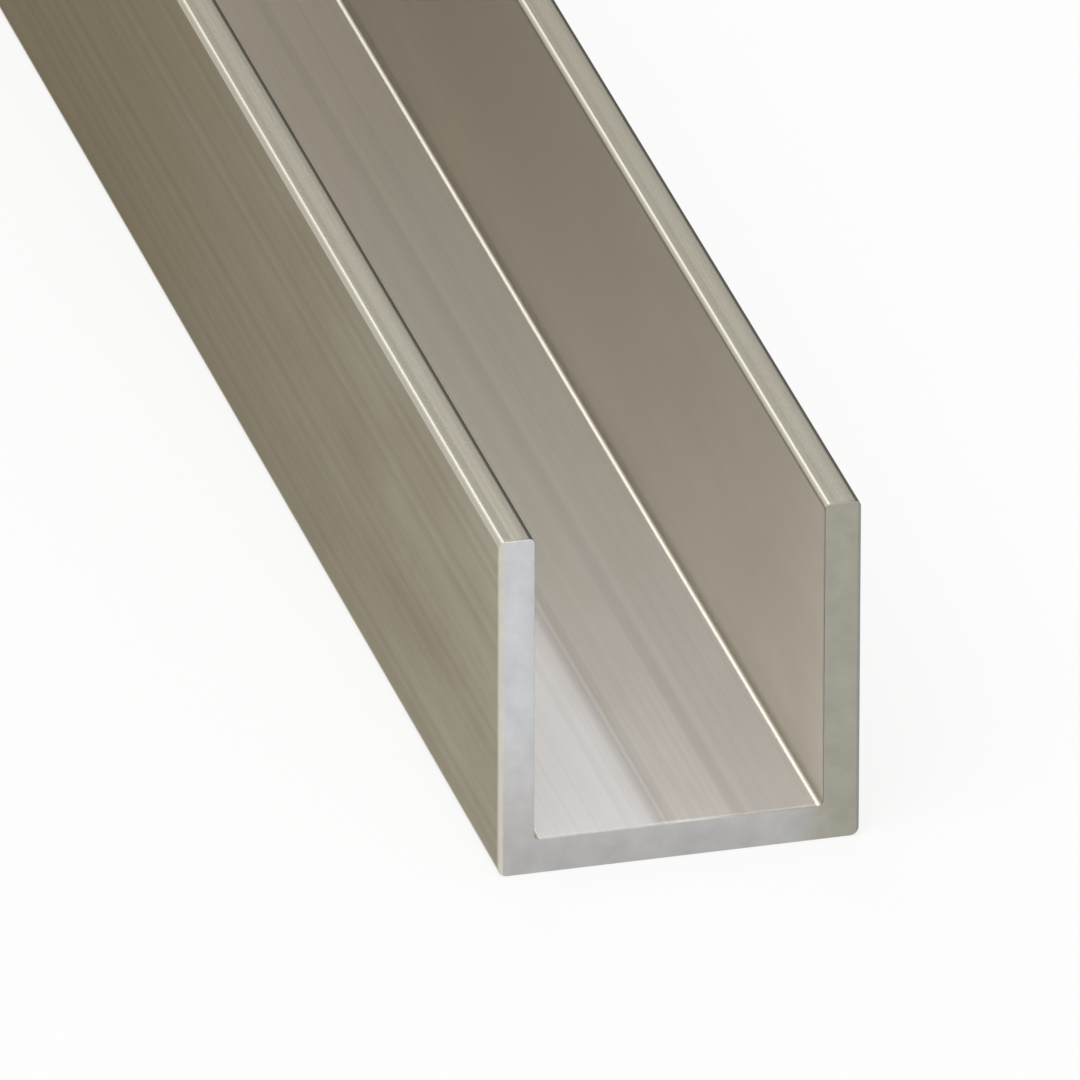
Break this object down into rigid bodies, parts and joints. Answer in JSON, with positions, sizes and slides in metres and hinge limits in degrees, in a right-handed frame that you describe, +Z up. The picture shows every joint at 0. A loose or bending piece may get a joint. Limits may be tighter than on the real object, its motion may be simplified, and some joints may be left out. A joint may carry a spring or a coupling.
{
  "type": "u channel",
  "caption": "Straight length of plain U-section steel channel: a flat web with two equal upright flanges, crisp corners, softly rounded toes and square sawn ends.",
  "frame": {"origin": "underside of the web, halfway across it and halfway along its length", "axes": "+X across the section from flange to flange, +Y along the length, +Z up out of the trough"},
  "size_m": [0.02, 1, 0.02],
  "materials": {
    "drawn_steel": "bright drawn, bare, faint lengthwise die lines, sawn ends"
  },
  "bodies": {
    "root": {"channel": "drawn_steel"}
  },
  "joints": []
}
